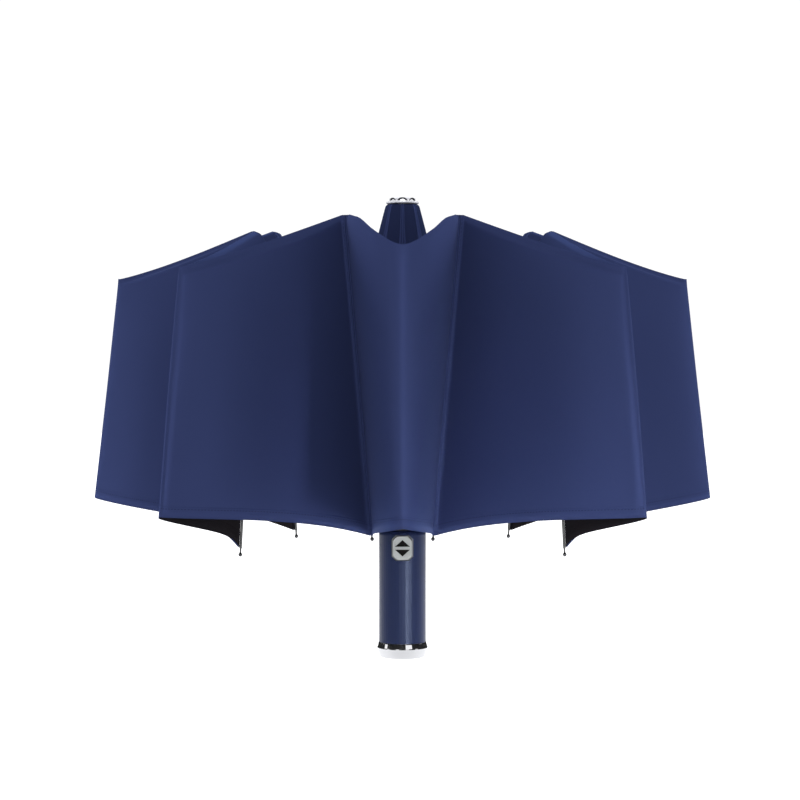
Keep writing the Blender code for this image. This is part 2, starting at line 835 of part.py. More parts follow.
def place_button_spring():
    rest = button_flange_front() - BUTTON_FLANGE - BUTTON_TRAVEL
    spring = coil(
        BUTTON_SPRING_RADIUS,
        BUTTON_SPRING_WIRE,
        BUTTON_SPRING_TURNS,
        rest,
        BUTTON_FACE - BUTTON_SKIN - FIT_GAP,
    )
    spring = turned(spring, Matrix.Translation((0, 0, BUTTON_CENTRE)) @ ALONG_Y)
    finish(spring, "button_spring", material("spring_steel", STEEL, 1.0, 0.30))


def place_torch():
    lip_bore = SPIGOT - RING_LIP_WIDTH
    ring_bore = SPIGOT - SPIGOT_WALL
    profile = [(lip_bore + RING_LIP, 0)]
    for step in range(END_STEPS + 1):
        turn = math.radians(90) * step / END_STEPS
        profile.append((
            RING_RADIUS - RING_DRAFT - RING_CORNER + RING_CORNER * math.sin(turn),
            RING_CORNER - RING_CORNER * math.cos(turn),
        ))
    profile += [
        (RING_RADIUS, RING_HEIGHT - RING_SHOULDER - RING_EDGE),
        (RING_RADIUS - RING_EDGE, RING_HEIGHT - RING_SHOULDER + RING_EDGE),
        (RING_RADIUS - RING_TAPER + RING_EDGE, RING_HEIGHT - RING_EDGE),
        (RING_RADIUS - RING_TAPER, RING_HEIGHT),
        (SPIGOT, RING_HEIGHT),
        (SPIGOT, RING_HEIGHT + RING_SPIGOT),
        (ring_bore, RING_HEIGHT + RING_SPIGOT),
        (ring_bore, RING_LIP),
        (lip_bore, RING_LIP),
    ]
    ring = lathe(profile, HANDLE_SIDES)
    finish(ring, "torch_ring", material("ring_chrome", CHROME, 1.0, 0.08))
    lens_radius = ring_bore - FIT_GAP
    lens_low = RING_LIP + FIT_GAP
    lens_high = lens_low + LENS_THICKNESS
    lens_profile = [(0, lens_low), (lens_radius, lens_low), (lens_radius, lens_high), (0, lens_high)]
    lens = lathe(lens_profile, HANDLE_SIDES // 2)
    finish(lens, "torch_lens", material("lens_clear", GLASS, 0.0, 0.05))
    low = lens_high + FIT_GAP
    high = low + REFLECTOR_HEIGHT
    cup = [
        (lens_radius - REFLECTOR_WALL, low),
        (lens_radius, low),
        (lens_radius, low + REFLECTOR_WALL),
        (REFLECTOR_THROAT + REFLECTOR_WALL, high),
        (REFLECTOR_THROAT, high),
    ]
    reflector = lathe(cup, HANDLE_SIDES // 2)
    finish(reflector, "torch_reflector", material("reflector_bright", CHROME, 1.0, 0.12))
    board_low = high + FIT_GAP
    board = lathe(
        [
            (0, board_low),
            (lens_radius, board_low),
            (lens_radius, board_low + BOARD_THICKNESS),
            (0, board_low + BOARD_THICKNESS),
        ],
        HANDLE_SIDES // 2,
    )
    half = LED_WIDTH / 2
    chip = box((-half, -half, board_low - LED_HEIGHT), (half, half, board_low + FIT_GAP))
    finish(join(board, chip), "led_board", material("board_white", BOARD_WHITE, 0.0, 0.50))
    return board_low + BOARD_THICKNESS


def place_battery(board_top):
    radius = SPIGOT - CARRIER_SLACK
    low = board_top + FIT_GAP
    bore = CELL_RADIUS + FIT_GAP
    floor = low + CONTACT_LENGTH + CELL_COUNT * (CELL_HEIGHT + FIT_GAP) + FIT_GAP
    roof = floor + CARRIER_FLOOR
    profile = [(0, roof), (radius, roof), (radius, low), (bore, low), (bore, floor), (0, floor)]
    carrier = lathe(profile, HANDLE_SIDES // 2)
    reach = SWITCH_RADIUS + SWITCH_FLANGE_LIP + FIT_GAP
    back = switch_back() - SWITCH_TRAVEL - FIT_GAP
    notch = box((-reach, back, 0), (reach, RING_RADIUS, SWITCH_HEIGHT + reach))
    carrier = cut(carrier, notch)
    finish(carrier, "battery_carrier", material("carrier_plastic", BLACK, 0.0, 0.6))
    silver = material("cell_silver", CELL_SILVER, 1.0, 0.28)
    top = floor - FIT_GAP
    for index in range(CELL_COUNT):
        high = top - index * (CELL_HEIGHT + FIT_GAP)
        bottom = high - CELL_HEIGHT
        cell_profile = [
            (0, bottom),
            (CELL_RADIUS - 2 * CELL_RIM, bottom),
            (CELL_RADIUS - 2 * CELL_RIM, bottom + CELL_RIM),
            (CELL_RADIUS, bottom + 2 * CELL_RIM),
            (CELL_RADIUS, high),
            (0, high),
        ]
        finish(lathe(cell_profile, TUBE_SIDES), "battery_cell_" + str(index + 1), silver)
    spring = coil(CONTACT_RADIUS, CONTACT_WIRE, CONTACT_TURNS, board_top + FIT_GAP, bottom - FIT_GAP)
    finish(spring, "contact_spring", material("contact_steel", CELL_SILVER, 1.0, 0.25))
    return roof


def place_switch():
    back = switch_back()
    body = switch_prism(SWITCH_RADIUS, back + SWITCH_FLANGE / 2, HANDLE_RADIUS + SWITCH_PROUD)
    body = bevel(body, BUTTON_EDGE, angle=60, segments=2)
    body = join(body, switch_prism(SWITCH_RADIUS + SWITCH_FLANGE_LIP, back, back + SWITCH_FLANGE))
    finish(body, "torch_switch", material("switch_rubber", BLACK, 0.0, 0.60))


def rib_line(index):
    pair = pair_of(index)
    knee = second_knee(pair)
    inner_ahead = ahead(INNER_LEAN)
    inner_up = above(INNER_LEAN)
    middle_ahead = ahead(MIDDLE_LEANS[pair])
    middle_up = above(MIDDLE_LEANS[pair])
    outer_ahead = ahead(OUTER_LEANS[pair])
    outer_up = above(OUTER_LEANS[pair])
    fold = (inner_up + middle_up).normalized()
    peak = (middle_up + outer_up).normalized()
    fold_distance = CLOTH_OFFSET / fold.dot(inner_up)
    hem = OUTER_LENGTH - HEM_RISE
    return [
        Vector((CLOTH_HOLE, CLOTH_DISC)),
        Vector((CLOTH_TOP_EDGE, CLOTH_DISC)),
        Vector((CLOTH_SIDE_EDGE, CLOTH_SIDE_HEIGHT)),
        CROWN_SPOT + CONE_SHARE * INNER_LENGTH * inner_ahead + CLOTH_OFFSET * inner_up,
        CROWN_SPOT + (INNER_LENGTH - FOLD_REACH) * inner_ahead + CLOTH_OFFSET * inner_up,
        FIRST_KNEE + fold_distance * fold,
        FIRST_KNEE + FOLD_REACH * middle_ahead + CLOTH_OFFSET * middle_up,
        FIRST_KNEE + PANEL_SHARE * MIDDLE_LENGTH * middle_ahead + CLOTH_OFFSET * middle_up,
        knee + KNEE_WRAP * middle_up,
        knee + KNEE_PEAKS[pair] * peak,
        knee + KNEE_WRAP * outer_up,
        knee + SKIRT_SHARE * OUTER_LENGTH * outer_ahead + CLOTH_OUTER_OFFSET * outer_up,
        knee + hem * outer_ahead + CLOTH_OUTER_OFFSET * outer_up,
    ]


FIRST_LOBE_ROW = 4
PEAK_ROW = 9


def canopy_rows(index):
    following = (index + 1) % RIB_COUNT
    azimuth = azimuth_of(index)
    middle = azimuth + 180 / RIB_COUNT
    front = following == 0
    lobe = FRONT_LOBE_SHARES if front else SIDE_LOBE_SHARES
    reach_share = FRONT_REACH_SHARE if front else SIDE_REACH_SHARE
    billow = FRONT_BILLOW if front else SIDE_BILLOW
    near_line = rib_line(index)
    far_line = rib_line(following)
    rows = []
    last = len(near_line) - 1
    for row in range(last + 1):
        near = near_line[row]
        far = far_line[row]
        if row < FIRST_LOBE_ROW - 1:
            ridge = near
        elif row < FIRST_LOBE_ROW:
            ridge = Vector((near.x * CONE_DIP_SHARE, near.y))
        else:
            reach, fall = lobe[row - FIRST_LOBE_ROW]
            ridge = Vector((reach * LOBE_REACH, CROWN_PIVOT - fall * LOBE_FALL))
        hold = CLOTH_HOLD if row < PEAK_ROW else CLOTH_OUTER_HOLD
        hold = min(hold, HOLD_SHARE * near.x)
        tip = outward_at(middle) * ridge.x + Vector((0, 0, ridge.y))
        line = []
        for side, spot, angle in ((1, near, azimuth), (-1, far, azimuth + 360 / RIB_COUNT)):
            across = across_at(angle) * side
            edge = outward_at(angle) * spot.x + Vector((0, 0, spot.y))
            held = edge + across * hold
            share = reach_share if row >= FIRST_LOBE_ROW else HOLD_SHARE + SKIRT_SHARE / 2
            spread = held.lerp(tip, share)
            bulge = across_at(middle) * -side
            weight = 1 if row > FIRST_LOBE_ROW + 2 else 0
            spread += bulge * billow * weight
            if row == last:
                spread.z = tip.z + (edge.z - tip.z) * (1 - share) ** HEM_POWER
            if side > 0:
                line += [edge, held, spread, tip]
            else:
                line += [spread, held]
        rows.append(line)
    return rows


def place_canopy():
    gores = [canopy_rows(index) for index in range(RIB_COUNT)]
    row_count = len(gores[0])
    points = []
    for row in range(row_count):
        for gore in gores:
            points += gore[row]
    across = len(points) // row_count
    faces = []
    for row in range(row_count - 1):
        for step in range(across):
            following = (step + 1) % across
            first = row * across
            second = first + across
            faces.append((first + step, first + following, second + following, second + step))
    cloth = new_object("cloth", mesh_from(points, [], faces), CUTTERS)
    skin = cloth.modifiers.new("Solidify", "SOLIDIFY")
    skin.thickness = CLOTH
    skin.offset = 0
    skin.use_even_offset = False
    cloth = outward(settle(cloth, CUTTERS))
    finish(cloth, "canopy", material("canopy_navy", NAVY, 0.0, 0.45))


def main():
    place_handle()
    place_button()
    place_button_spring()
    board_top = place_torch()
    battery_top = place_battery(board_top)
    socket_floor = place_socket(battery_top + SOCKET_CLEARANCE)
    place_switch()
    place_shaft(socket_floor)
    place_crown()
    place_runner()
    place_cap()
    place_ribs()
    place_canopy()
    bpy.context.view_layer.update()
    for thing in PARTS.objects:
        thing.location.z -= GRIP_CENTRE
    for thing in CUTTERS.objects:
        thing.hide_render = True
        thing.display_type = "WIRE"


main()
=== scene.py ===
import json
import math

import bpy
import numpy as np
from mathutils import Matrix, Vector

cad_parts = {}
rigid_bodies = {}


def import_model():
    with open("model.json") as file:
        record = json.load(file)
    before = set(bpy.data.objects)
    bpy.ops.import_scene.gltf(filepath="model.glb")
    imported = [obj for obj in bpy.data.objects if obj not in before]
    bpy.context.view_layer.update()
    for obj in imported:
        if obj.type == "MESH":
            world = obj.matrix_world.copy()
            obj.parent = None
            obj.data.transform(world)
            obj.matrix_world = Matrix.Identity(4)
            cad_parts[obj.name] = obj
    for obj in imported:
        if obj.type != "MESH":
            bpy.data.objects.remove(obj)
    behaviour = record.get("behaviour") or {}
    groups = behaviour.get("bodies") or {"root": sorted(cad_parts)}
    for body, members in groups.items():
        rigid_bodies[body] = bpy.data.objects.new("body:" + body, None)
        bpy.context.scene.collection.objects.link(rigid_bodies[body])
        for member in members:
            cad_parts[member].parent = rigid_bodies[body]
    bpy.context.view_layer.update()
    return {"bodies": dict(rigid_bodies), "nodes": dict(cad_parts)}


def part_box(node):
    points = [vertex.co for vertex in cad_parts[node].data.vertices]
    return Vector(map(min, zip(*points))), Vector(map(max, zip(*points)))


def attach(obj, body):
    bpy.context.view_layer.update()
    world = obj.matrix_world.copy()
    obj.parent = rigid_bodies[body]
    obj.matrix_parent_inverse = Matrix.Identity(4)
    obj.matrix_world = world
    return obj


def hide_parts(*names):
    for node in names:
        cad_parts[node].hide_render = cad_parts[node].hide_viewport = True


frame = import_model()
NODES = frame["nodes"]

# The linkage, in metres and degrees, with heights from the torch end of the handle. Ribs come in
# four pairs, from the two at the front to the two at the back.
GRIP = 0.0525
RIBS = 8
INNER, MIDDLE, OUTER = 0.1225, 0.1235, 0.2272
INNER_LEAN = -75.1
MIDDLE_LEANS = (61.3, 54.8, 60.0, 60.0)
OUTER_LEANS = (-101.3, -86.9, -94.3, -96.0)
OPEN_LEANS = (-12.0, -22.0, -35.0)
CROWN = np.array((0.0102, 0.324))
RUN = 0.0915
UP = np.array((0.0, 0.0, 1.0))

# The slides of the runner that the cloth is shaped for, and the spans that it moves through, each
# from one of them to another
STEPS = (-0.0055, 0.0, 0.0229, 0.0458, 0.0686, 0.0915)
SPANS = ((1, 0), (1, 2), (2, 3), (3, 4), (4, 5))

# The arches round the cap's drum, and how much wider the painted shade along their rims is drawn
CAP_DRUM, CAP_DRUM_HEIGHT = 0.0097, 0.0026
ARCHES, ARCH_RADIUS, ARCH_SINK, ARCH_WIDEN = 7, 0.0030, 0.0009, 1.2

# The cloth on a rib: its rows over the cap, then how far it stands off, at rest and opened
CAP_ROWS = ((0.0056, 0.3326), (0.0108, 0.33265), (0.01215, 0.3312))
CHANNEL_OFF = (0.0021, 0.0028)
ROD_OFF = (0.0018, 0.0024)
TIP_OFF = 0.0018
# Where the rows between the knees lie, as shares of each rib, and how near the first knee's are
ALONG_INNER, ALONG_MIDDLE, ALONG_OUTER = 0.45, 0.6, 0.5
FOLD_REACH = 0.024
SHARPEST_FOLD = 0.2
# The second knee at rest: beside it, over it and shifted outward. Opened, all pairs are alike.
KNEE_WRAPS = (0.0027, 0.0025, 0.0026, 0.0026)
KNEE_PEAKS = (0.0046, 0.0040, 0.0034, 0.0034)
KNEE_SHIFTS = (0.0, 0.0021, 0.0008, 0.0)
OPEN_WRAP, OPEN_PEAK = 0.0028, 0.0029
# How far short of the rod's end the hem stops
HEM_RISES = (0.0030, 0.0054, 0.0048, 0.0048)

# Ridge of each lobe: radius and height, row by row from the cone to the hem
FRONT_LOBE = (
    (0.037, 0.2480), (0.056, 0.2420), (0.086, 0.2500), (0.130, 0.2680), (0.176, 0.2890),
    (0.1832, 0.2926), (0.1838, 0.2870), (0.188, 0.2000), (0.190, 0.1092),
)
NEAR_LOBE = (
    (0.037, 0.2480), (0.054, 0.2420), (0.084, 0.2490), (0.144, 0.2630), (0.201, 0.2772),
    (0.2088, 0.2799), (0.2093, 0.2742), (0.2178, 0.1960), (0.2255, 0.1146),
)
SIDE_LOBE = (
    (0.037, 0.2480), (0.054, 0.2420), (0.084, 0.2490), (0.144, 0.2630), (0.201, 0.2762),
    (0.2090, 0.2783), (0.2094, 0.2727), (0.2176, 0.1970), (0.2267, 0.1177),
)
LOBES = (NEAR_LOBE, *[SIDE_LOBE] * 5, NEAR_LOBE, FRONT_LOBE)

# How the hem falls from the ridge to the tip on each half of a panel: an even share, and the power
# of the rest
HEM_CURVES = (((0.5, 3.5), (0.745, 13.0)), ((0.52, 8.0), (0.0, 2.2)), ((0.0, 2.0), (0.0, 2.0)),
              ((0.0, 2.0), (0.0, 2.0)), ((0.0, 2.0), (0.0, 2.0)), ((0.0, 2.2), (0.52, 8.0)),
              ((0.745, 13.0), (0.5, 3.5)), ((0.0, 1.4), (0.0, 1.4)))
# How far the top crease of each half sags below a straight line
DROOPS = ((0.0018, 0.0027), (0.0026, 0.003), (0.002, 0.002), (0.002, 0.002), (0.002, 0.002),
          (0.003, 0.0026), (0.0027, 0.0018), (0.0, 0.0))
# How far each half of a hanging panel swells sideways
BOWS = ((0.0065, 0.0065), (0.0120, 0.0050), (0.0050, 0.0050), (0.0050, 0.0050), (0.0050, 0.0050),
        (0.0050, 0.0120), (0.0065, 0.0065), (0.0, 0.0))
# A soft wave in the hanging panels: depth, turns from ridge to rib, shift from panel to panel, and
# what the hem takes off it
WAVE, WAVE_TURNS, WAVE_SHIFT, WAVE_LOSS = 0.0012, 1.4, 0.17, 0.4
# Inwards and up: how the opened cloth sags between its ribs, and how its hem draws in
OPEN_SAG = (0.004, -0.006)
OPEN_HEM_DRAW = (0.020, 0.012)
# Pleats where the cloth is gathered below the cap, and the depth, place and width of their grooves
PLEAT = 0.0008
FRONT_GROOVE = (0.0011, 0.40, 0.07)
SIDE_GROOVE = (0.0006, 0.0, 0.16)
SEAM_GROOVE = (0.0006, 1.0, 0.10)
# Half the width that lies flat on a rib, above and below the second knee, the most of it as a
# share of the radius, and what it adds to the places across a panel, which run from -1 to 1
HOLD_HIGH, HOLD_LOW, HOLD_SHARE, HOLD_SPAN = 0.0050, 0.0014, 0.30, 0.02

# Where each row of the smooth cloth lies between the thirteen rows of the rib line
ROWS = np.concatenate((
    np.linspace(0, 1, 3)[:-1], np.linspace(1, 2, 4)[:-1], np.linspace(2, 3, 9)[:-1],
    np.linspace(3, 4, 9)[:-1], np.linspace(4, 5, 7)[:-1], np.linspace(5, 6, 7)[:-1],
    np.linspace(6, 7, 9)[:-1], np.linspace(7, 8, 9)[:-1], 9 - np.linspace(1, 0, 9)[:-1] ** 1.7,
    9 + np.linspace(0, 1, 9)[:-1] ** 1.7, 10 + np.linspace(0, 1, 17)[:-1] ** 1.4,
    np.linspace(11, 12, 21),
))
# Radius of each of the thirteen rows on the flat cut
CUT_RADII = (0.0056, 0.0127, 0.0150, 0.0700, 0.1130, 0.1370, 0.1610, 0.2110, 0.2600, 0.2640,
             0.2680, 0.3800, 0.4860)
# Columns of a panel: on the rib's flat, then from the ridge to the rib
HOLD_STEPS = (0.0, 0.35, 0.7)
HALF_SAMPLES = np.concatenate((np.linspace(0, 1, 20)[:-1] ** 1.3, (0.955, 0.98, 1.0)))
SAMPLES = np.concatenate((-HALF_SAMPLES[::-1], HALF_SAMPLES[1:]))
# How far along the line each row is rounded: at the cap, at the deep first fold, at the second
# knee of a rib or of a ridge, and where the cloth hangs
ROUND_ROWS = (0, 2, 4, 5, 7, 8.4, 9, 9.8, 11, 12)
CAP_ROUND, FOLD_ROUND, HANG_ROUND = 0.0004, 0.006, 0.012
RIB_KNEE_ROUND, RIDGE_KNEE_ROUND = 0.0006, 0.0004
SPREAD = (-1.0, -0.75, -0.5, -0.25, 0.25, 0.5, 0.75, 1.0)


def rad(angle):
    return angle * math.pi / 180


def ahead(lean):
    return np.array((math.cos(rad(lean)), math.sin(rad(lean))))


def above(lean):
    return np.array((-math.sin(rad(lean)), math.cos(rad(lean))))


def unit(vector):
    return vector / np.linalg.norm(vector)


def smooth_step(low, high, value):
    share = np.clip((value - low) / (high - low), 0, 1)
    return share * share * (3 - 2 * share)


# How far each row belongs to a part of the panel, from 0 to 1
CONE = smooth_step(1.8, 2.6, ROWS) * (1 - smooth_step(3.4, 5.0, ROWS))
NECK = smooth_step(1.8, 2.6, ROWS) * (1 - smooth_step(2.9, 3.8, ROWS))
PAST_FOLD = smooth_step(3.0, 5.0, ROWS)
CREASE = smooth_step(6.5, 8.6, ROWS) * (1 - smooth_step(9.6, 11.0, ROWS))
PAST_KNEE = smooth_step(7.8, 9.0, ROWS)
HANGING = smooth_step(9.3, 10.7, ROWS)
HEM = smooth_step(10.9, 12.0, ROWS)
OFF_CAP = np.clip((ROWS - 2.0) / 8.0, 0, 1)
LOW_END = np.clip(ROWS - 11.0, 0, 1) ** 2

# Radius of the bend over each ridge, as a share of the half panel
FRONT_BEND = 0.26 - 0.08 * HANGING
SIDE_BEND = 0.10 - 0.055 * PAST_FOLD
OPEN_BEND = 0.10


def open_share(slide):
    return min(max(slide / RUN, 0.0), 1.0)


def between(low, high, share):
    return low + (high - low) * share


def leans_at(pair, slide):
    rest = (INNER_LEAN, MIDDLE_LEANS[pair], OUTER_LEANS[pair])
    return [between(low, high, slide / RUN) for low, high in zip(rest, OPEN_LEANS)]


def rib_line(index, slide):
    """The cloth over one rib, from the hole under the cap to the hem, as radius and height"""
    pair = min(index, RIBS - 1 - index)
    inner, middle, outer = leans_at(pair, slide)
    one = CROWN + INNER * ahead(inner)
    two = one + MIDDLE * ahead(middle)
    up_in, up_mid, up_out = above(inner), above(middle), above(outer)
    fold = unit(up_in + up_mid)
    peak = unit(up_mid + up_out)
    share = open_share(slide)
    off = between(*CHANNEL_OFF, share)
    wrap = between(KNEE_WRAPS[pair], OPEN_WRAP, share)
    lift_up = between(KNEE_PEAKS[pair], OPEN_PEAK, share)
    rod_off = between(*ROD_OFF, share)
    shift = np.array((KNEE_SHIFTS[pair] * (1 - share), 0.0))
    return np.array([
        *CAP_ROWS,
        CROWN + ALONG_INNER * INNER * ahead(inner) + off * up_in,
        CROWN + (INNER - FOLD_REACH) * ahead(inner) + off * up_in,
        one + off / max(fold @ up_in, SHARPEST_FOLD) * fold,
        one + FOLD_REACH * ahead(middle) + off * up_mid,
        one + ALONG_MIDDLE * MIDDLE * ahead(middle) + off * up_mid,
        two + wrap * up_mid,
        two + lift_up * peak + shift,
        two + wrap * up_out,
        two + ALONG_OUTER * OUTER * ahead(outer) + rod_off * up_out,
        two + (OUTER - HEM_RISES[pair]) * ahead(outer) + TIP_OFF * up_out,
    ])


def softened(line, knee_round):
    """line at ROWS, its corners rounded: little at the knees, more at the deep fold"""
    count = np.arange(len(line))
    base = np.stack([np.interp(ROWS, count, line[:, axis]) for axis in range(2)], 1)
    step = np.linalg.norm(np.diff(base, axis=0), axis=1)
    along = np.concatenate(([0], np.cumsum(step)))
    reach = np.interp(ROWS, ROUND_ROWS, (
        0, CAP_ROUND, FOLD_ROUND, FOLD_ROUND, FOLD_ROUND, knee_round, knee_round, knee_round,
        HANG_ROUND, 0,
    ))
    total = base.copy()
    for shift in SPREAD:
        spot = np.clip(along + shift * reach, 0, along[-1])
        total += np.stack([np.interp(spot, along, base[:, axis]) for axis in range(2)], 1)
    return total / (len(SPREAD) + 1)


def outward_at(azimuth):
    return np.array((math.sin(rad(azimuth)), -math.cos(rad(azimuth)), 0.0))


def across_at(azimuth):
    return np.array((math.cos(rad(azimuth)), math.sin(rad(azimuth)), 0.0))


def lift(line, azimuth):
    """A line of radii and heights, stood up at an azimuth from the front"""
    flat = np.zeros(len(line))
    return line[:, :1] * outward_at(azimuth) + np.stack((flat, flat, line[:, 1]), 1)


def held_lines(index, slide):
    """Both ribs' lines of a panel and the lines where the cloth leaves them"""
    azimuth = 22.5 + 45 * index
    lines = []
    for rib, angle, side in ((index, azimuth, 1), ((index + 1) % RIBS, azimuth + 45, -1)):
        line = softened(rib_line(rib, slide), RIB_KNEE_ROUND)
        edge = lift(line, angle)
        hold = between(HOLD_HIGH, HOLD_LOW, smooth_step(8.2, 9.6, ROWS))
        hold = np.minimum(hold, HOLD_SHARE * line[:, 0])
        lines.append((edge, edge + side * across_at(angle) * hold[:, None]))
    return lines


def bend(away, radius):
    """0 at the ridge and 1 at the rib, straight but for a round of that radius at the ridge"""
    return (np.sqrt(away * away + radius ** 2) - radius) / (np.sqrt(1 + radius ** 2) - radius)


def front_section(away, back, fade):
    """The front lobe's rounder section: back to the ribs, out to the sides and down to the ribs"""
    round_back = 1 - math.cos(math.pi * away / 2) ** 1.15
    round_out = math.sin(math.pi * away / 2) ** 0.95
    out = between(np.full(len(ROWS), away), round_out, PAST_KNEE * fade)
    # The crest dips in a V between the knees and levels off just before each of them
    dip = bend(out, 0.3)
    dip = between(dip, out, smooth_step(0.55, 0.85, out))
    dip = dip - 0.10 * (1 - round_back) * smooth_step(0.75, 1.0, out)
    level = between(back, dip, PAST_KNEE * fade)
    level = between(level, round_back, np.maximum(HANGING, NECK) * fade)
    back = between(back, round_back, np.maximum(PAST_KNEE, NECK) * fade)
    return back, out, level


def groove_at(away, depth, place, width):
    return depth * math.exp(-(((away - place) / width) ** 2))


def gore(index, slide):
    """One panel in rows from the cap to the hem, and the places of its columns from rib to rib

    At rest it hangs in a lobe between its ribs. The lobe fades as the runner slides, until the
    panel lies flat between them with a little sag.
    """
    front = index == RIBS - 1
    middle = 45 * (index + 1)
    outwards, across = outward_at(middle), across_at(middle)
    (near, held_near), (far, held_far) = held_lines(index, slide)
    (_, rest_near), (_, rest_far) = held_lines(index, 0.0)
    ridge = softened(np.concatenate((rib_line(index, 0.0)[:4], LOBES[index])), RIDGE_KNEE_ROUND)
    gathered = lift(ridge, middle) - (rest_near + rest_far) / 2
    centre = (held_near + held_far) / 2
    half = (held_far - held_near) / 2
    share = open_share(slide)
    fade = (1 - share) ** 1.25
    sag = np.outer(share ** 2 * OFF_CAP, OPEN_SAG[1] * UP - OPEN_SAG[0] * outwards)
    draw = np.outer(share ** 2 * LOW_END, OPEN_HEM_DRAW[1] * UP - OPEN_HEM_DRAW[0] * outwards)
    sag = sag + draw
    radius = between(FRONT_BEND if front else SIDE_BEND, OPEN_BEND, share)
    columns = [near + (held_near - near) * place for place in HOLD_STEPS]
    coords = [-1.0 - HOLD_SPAN * (1 - place) for place in HOLD_STEPS]
    for u in SAMPLES:
        away = abs(u)
        side, part = (-1, 0) if u < 0 else (1, 1)
        back = level = bend(away, radius)
        out = np.full(len(ROWS), away)
        if front:
            back, out, level = front_section(away, back, fade)
        bare = np.stack((1 - back, 1 - back, 1 - level), 1) * fade
        point = centre + half * (out * side)[:, None] + gathered * bare
        point = point + sag * (1 - back)[:, None]
        # The hanging halves swell and wave, and the top crease droops
        bow = math.sin(math.pi * away ** 0.8)
        swell = BOWS[index][part] * HANGING
        if not front:
            turn = 2 * math.pi * (away * WAVE_TURNS + WAVE_SHIFT * index)
            swell = swell + WAVE * math.sin(turn) * HANGING * (1 - WAVE_LOSS * HEM)
        point = point + np.outer(swell * bow * side * fade, across)
        point[:, 2] -= DROOPS[index][part] * bow * CREASE * fade
        # The hem falls from the ridge to the tip on its own curve
        edge_z = (held_near if u < 0 else held_far)[:, 2]
        ridge_z = centre[:, 2] + gathered[:, 2] * fade + sag[:, 2]
        even, power = HEM_CURVES[index][part]
        wanted = between(ridge_z, edge_z, even * away + (1 - even) * away ** power)
        point[:, 2] += (wanted - point[:, 2]) * HEM * fade
        pleat = PLEAT * (1 - away ** 4)
        pleat -= groove_at(away, *(FRONT_GROOVE if front else SIDE_GROOVE))
        pleat -= groove_at(away, *SEAM_GROOVE)
        columns.append(point + np.outer(pleat * CONE * fade, outwards))
        coords.append(u)
    coords.extend(1.0 + HOLD_SPAN * (1 - place) for place in HOLD_STEPS[:0:-1])
    columns.extend(far + (held_far - far) * place for place in HOLD_STEPS[:0:-1])
    return np.stack(columns, 1), np.array(coords)


def canopy_points(slide):
    """All panels side by side in the scene's own heights, and the places of their columns"""
    panels = [gore(index, slide) for index in range(RIBS)]
    grid = np.concatenate([points for points, _ in panels], 1)
    grid[:, :, 2] -= GRIP
    return grid, np.concatenate([coords for _, coords in panels])


def make_canopy():
    grid, coords = canopy_points(0.0)
    rows, across = grid.shape[:2]
    faces = []
    for row in range(rows - 1):
        for step in range(across):
            after = (step + 1) % across
            faces.append((row * across + step, row * across + after,
                          (row + 1) * across + after, (row + 1) * across + step))
    mesh = bpy.data.meshes.new("canopy_cloth")
    mesh.from_pydata(grid.reshape(-1, 3).tolist(), [], faces)
    mesh.update()
    mesh.flip_normals()
    for polygon in mesh.polygons:
        polygon.use_smooth = True
    lay_out(mesh, coords)
    cloth = bpy.data.objects.new("canopy_cloth", mesh)
    bpy.context.scene.collection.objects.link(cloth)
    keys = [canopy_points(slide)[0].reshape(-1, 3) for slide in STEPS]
    for number, (start, end) in enumerate(SPANS):
        attribute = mesh.attributes.new("move_" + str(number), "FLOAT_VECTOR", "POINT")
        change = (keys[end] - keys[start]).astype(np.float32)
        attribute.data.foreach_set("vector", change.ravel())
    return cloth


def lay_out(mesh, coords):
    """The flat cut in decimetres: places on each panel, and distances from its seams and hem"""
    radii = np.interp(ROWS, range(13), CUT_RADII) * 10
    half = radii * math.tan(rad(22.5))
    cut = np.zeros((len(mesh.loops), 2), np.float32)
    edges = np.zeros((len(mesh.loops), 2), np.float32)
    across = len(coords)
    for polygon in mesh.polygons:
        spots = [divmod(mesh.loops[loop].vertex_index, across) for loop in polygon.loop_indices]
        closing = any(step == across - 1 for _, step in spots)
        for loop, (row, step) in zip(polygon.loop_indices, spots):
            here = 1 + HOLD_SPAN if closing and step == 0 else coords[step]
            cut[loop] = (here * half[row], radii[row])
            edges[loop] = ((1 + HOLD_SPAN - abs(here)) * half[row], radii[-1] - radii[row])
    for name, places in (("cut", cut), ("edges", edges)):
        mesh.uv_layers.new(name=name).data.foreach_set("uv", places.ravel())


def link(tree, source, target):
    tree.links.new(source, target)


